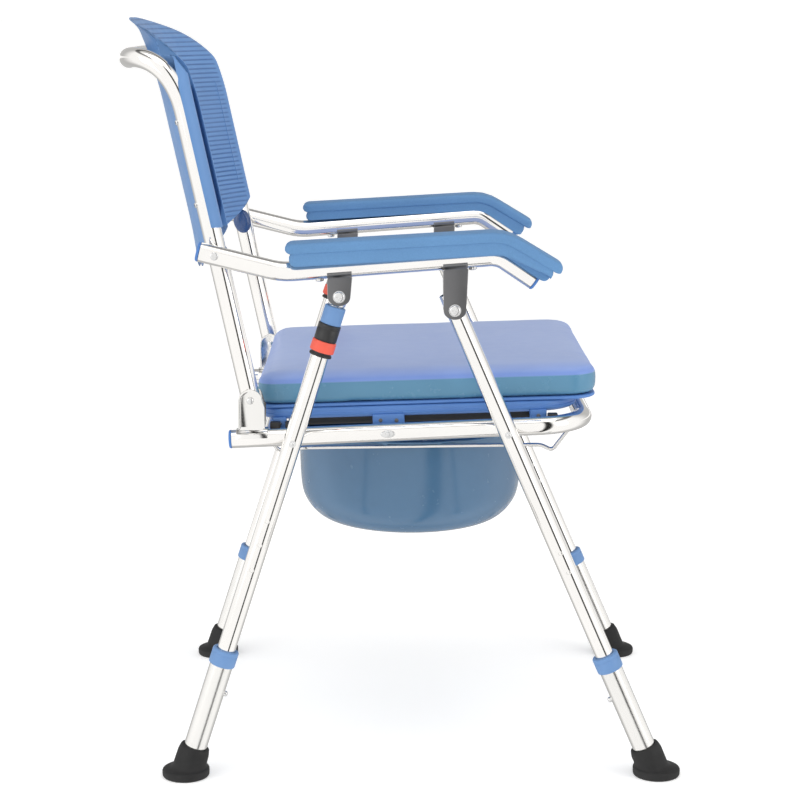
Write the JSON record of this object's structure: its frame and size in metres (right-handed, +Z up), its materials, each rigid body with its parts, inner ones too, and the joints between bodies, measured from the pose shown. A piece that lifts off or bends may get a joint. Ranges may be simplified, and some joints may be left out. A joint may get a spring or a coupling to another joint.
{
  "type": "folding commode chair",
  "caption": "Folding aluminium commode chair with a blue ribbed backrest, padded arms, a cushioned lid, a slide-out bucket and telescoping legs.",
  "frame": {"origin": "middle of the whole chair's footprint, on the floor", "axes": "+X forward, the way the user faces; +Y the chair's left; +Z up"},
  "size_m": [0.679, 0.555, 0.9022],
  "materials": {
    "aluminium": "polished, bright anodised",
    "hinge_bracket": "satin",
    "bracket_steel": "dark, satin",
    "button_steel": "smooth",
    "blue_plastic": "satin moulded",
    "ring_plastic": "satin moulded",
    "arm_pad_vinyl": "soft foam skin with a fine leather grain",
    "seat_vinyl": "smooth vinyl",
    "cap_plastic": "glossy",
    "rubber": "matte",
    "collar_plastic": "satin",
    "ring_red": "satin",
    "bucket_plastic": "glossy moulded",
    "bush_plastic": "plain"
  },
  "bodies": {
    "seat_frame": {"seat_frame_tube": "aluminium", "seat_rear_crossbar": "aluminium", "toilet_seat": "blue_plastic", "seat_tube_plug_right": "blue_plastic", "back_hinge_bracket_right": "hinge_bracket", "bucket_rail_right": "aluminium", "leg_pivot_bush_rear_right": "bush_plastic", "leg_pivot_bush_front_right": "bush_plastic", "seat_tube_plug_left": "blue_plastic", "back_hinge_bracket_left": "hinge_bracket", "bucket_rail_left": "aluminium", "leg_pivot_bush_rear_left": "bush_plastic", "leg_pivot_bush_front_left": "bush_plastic"},
    "seat_lid": {"cushion_base": "blue_plastic", "seat_cushion": "seat_vinyl"},
    "bucket": {"bucket": "bucket_plastic"},
    "back": {"back_frame_tube": "aluminium", "backrest_panel": "blue_plastic", "arm_pivot_cap_right": "cap_plastic", "arm_pivot_cap_left": "cap_plastic"},
    "arm_right": {"arm_tube_right": "aluminium", "arm_plug_rear_right": "blue_plastic", "arm_plug_front_right": "blue_plastic", "arm_pad_right": "arm_pad_vinyl", "leg_bracket_rear_right": "bracket_steel", "leg_bracket_front_right": "bracket_steel"},
    "front_leg_right": {"front_leg_tube_right": "aluminium"},
    "rear_leg_right": {"rear_leg_tube_right": "aluminium", "lock_collar_right": "collar_plastic"},
    "strut_right": {"strut_rod_right": "aluminium", "strut_sleeve_right": "blue_plastic"},
    "lock_ring_right": {"lock_ring_right": "ring_red"},
    "lower_leg_front_right": {"lower_leg_tube_front_right": "aluminium", "clamp_ring_front_right": "ring_plastic", "foot_front_right": "rubber"},
    "button_front_right": {"leg_button_front_right": "button_steel"},
    "lower_leg_rear_right": {"lower_leg_tube_rear_right": "aluminium", "clamp_ring_rear_right": "ring_plastic", "foot_rear_right": "rubber"},
    "button_rear_right": {"leg_button_rear_right": "button_steel"},
    "arm_left": {"arm_tube_left": "aluminium", "arm_plug_rear_left": "blue_plastic", "arm_plug_front_left": "blue_plastic", "arm_pad_left": "arm_pad_vinyl", "leg_bracket_rear_left": "bracket_steel", "leg_bracket_front_left": "bracket_steel"},
    "front_leg_left": {"front_leg_tube_left": "aluminium"},
    "rear_leg_left": {"rear_leg_tube_left": "aluminium", "lock_collar_left": "collar_plastic"},
    "strut_left": {"strut_rod_left": "aluminium", "strut_sleeve_left": "blue_plastic"},
    "lock_ring_left": {"lock_ring_left": "ring_red"},
    "lower_leg_front_left": {"lower_leg_tube_front_left": "aluminium", "clamp_ring_front_left": "ring_plastic", "foot_front_left": "rubber"},
    "button_front_left": {"leg_button_front_left": "button_steel"},
    "lower_leg_rear_left": {"lower_leg_tube_rear_left": "aluminium", "clamp_ring_rear_left": "ring_plastic", "foot_rear_left": "rubber"},
    "button_rear_left": {"leg_button_rear_left": "button_steel"}
  },
  "joints": [
    {"name": "back_fold", "type": "hinge", "parent": "seat_frame", "child": "back", "pos_m": [-0.17614, 0, 0.4582], "axis": [0, 1, 0], "range_deg": [0, 85]},
    {"name": "seat_lid_hinge", "type": "hinge", "parent": "seat_frame", "child": "seat_lid", "pos_m": [-0.17204, 0, 0.4417], "axis": [0, -1, 0], "range_deg": [0, 80]},
    {"name": "bucket_slide", "type": "slide", "parent": "seat_frame", "child": "bucket", "axis": [-1, 0, 0], "range_m": [0, 0.25]},
    {"name": "front_leg_pivot_right", "type": "hinge", "parent": "seat_frame", "child": "front_leg_right", "pos_m": [0.12736, -0.2415, 0.422], "axis": [0, 1, 0], "range_deg": [0, 92.8]},
    {"name": "arm_pivot_right", "type": "hinge", "parent": "front_leg_right", "child": "arm_right", "pos_m": [0.06376, -0.2415, 0.5694], "axis": [0, 1, 0], "range_deg": [-99.6, 0]},
    {"name": "rear_leg_pivot_right", "type": "hinge", "parent": "seat_frame", "child": "rear_leg_right", "pos_m": [-0.12564, -0.2415, 0.4115], "axis": [0, 1, 0], "range_deg": [0, 58.7]},
    {"name": "strut_slide_right", "type": "slide", "parent": "rear_leg_right", "child": "strut_right", "axis": [0.3068, 0, 0.9518], "range_m": [0, 0.0948]},
    {"name": "lock_ring_slide_right", "type": "slide", "parent": "rear_leg_right", "child": "lock_ring_right", "axis": [-0.3068, 0, -0.9518], "range_m": [0, 0.0025], "stiffness_N_per_m": 400, "springref_m": -0.002},
    {"name": "leg_height_front_right", "type": "slide", "parent": "front_leg_right", "child": "lower_leg_front_right", "axis": [0.3982, 0, -0.9173], "range_m": [0, 0.1]},
    {"name": "button_press_front_right", "type": "slide", "parent": "lower_leg_front_right", "child": "button_front_right", "axis": [0.9173, 0, 0.3982], "range_m": [0, 0.004], "stiffness_N_per_m": 600, "springref_m": -0.002},
    {"name": "leg_height_rear_right", "type": "slide", "parent": "rear_leg_right", "child": "lower_leg_rear_right", "axis": [-0.3068, 0, -0.9518], "range_m": [0, 0.1]},
    {"name": "button_press_rear_right", "type": "slide", "parent": "lower_leg_rear_right", "child": "button_rear_right", "axis": [-0.9518, 0, 0.3068], "range_m": [0, 0.004], "stiffness_N_per_m": 600, "springref_m": -0.002},
    {"name": "front_leg_pivot_left", "type": "hinge", "parent": "seat_frame", "child": "front_leg_left", "pos_m": [0.12736, 0.2415, 0.422], "axis": [0, 1, 0], "range_deg": [0, 92.8]},
    {"name": "arm_pivot_left", "type": "hinge", "parent": "front_leg_left", "child": "arm_left", "pos_m": [0.06376, 0.2415, 0.5694], "axis": [0, 1, 0], "range_deg": [-99.6, 0]},
    {"name": "rear_leg_pivot_left", "type": "hinge", "parent": "seat_frame", "child": "rear_leg_left", "pos_m": [-0.12564, 0.2415, 0.4115], "axis": [0, 1, 0], "range_deg": [0, 58.7]},
    {"name": "strut_slide_left", "type": "slide", "parent": "rear_leg_left", "child": "strut_left", "axis": [0.3068, 0, 0.9518], "range_m": [0, 0.0948]},
    {"name": "lock_ring_slide_left", "type": "slide", "parent": "rear_leg_left", "child": "lock_ring_left", "axis": [-0.3068, 0, -0.9518], "range_m": [0, 0.0025], "stiffness_N_per_m": 400, "springref_m": -0.002},
    {"name": "leg_height_front_left", "type": "slide", "parent": "front_leg_left", "child": "lower_leg_front_left", "axis": [0.3982, 0, -0.9173], "range_m": [0, 0.1]},
    {"name": "button_press_front_left", "type": "slide", "parent": "lower_leg_front_left", "child": "button_front_left", "axis": [0.9173, 0, 0.3982], "range_m": [0, 0.004], "stiffness_N_per_m": 600, "springref_m": -0.002},
    {"name": "leg_height_rear_left", "type": "slide", "parent": "rear_leg_left", "child": "lower_leg_rear_left", "axis": [-0.3068, 0, -0.9518], "range_m": [0, 0.1]},
    {"name": "button_press_rear_left", "type": "slide", "parent": "lower_leg_rear_left", "child": "button_rear_left", "axis": [-0.9518, 0, 0.3068], "range_m": [0, 0.004], "stiffness_N_per_m": 600, "springref_m": -0.002}
  ],
  "couplings": [
    {"joint": "front_leg_pivot_right", "follows": "back_fold", "ratio": 1.0799},
    {"joint": "arm_pivot_right", "follows": "back_fold", "ratio": -1.1603},
    {"joint": "rear_leg_pivot_right", "follows": "back_fold", "ratio": 0.67906},
    {"joint": "strut_slide_right", "follows": "back_fold", "m_per_rad": 0.063261},
    {"joint": "front_leg_pivot_left", "follows": "back_fold", "ratio": 1.0799},
    {"joint": "arm_pivot_left", "follows": "back_fold", "ratio": -1.1603},
    {"joint": "rear_leg_pivot_left", "follows": "back_fold", "ratio": 0.67906},
    {"joint": "strut_slide_left", "follows": "back_fold", "m_per_rad": 0.063261}
  ]
}
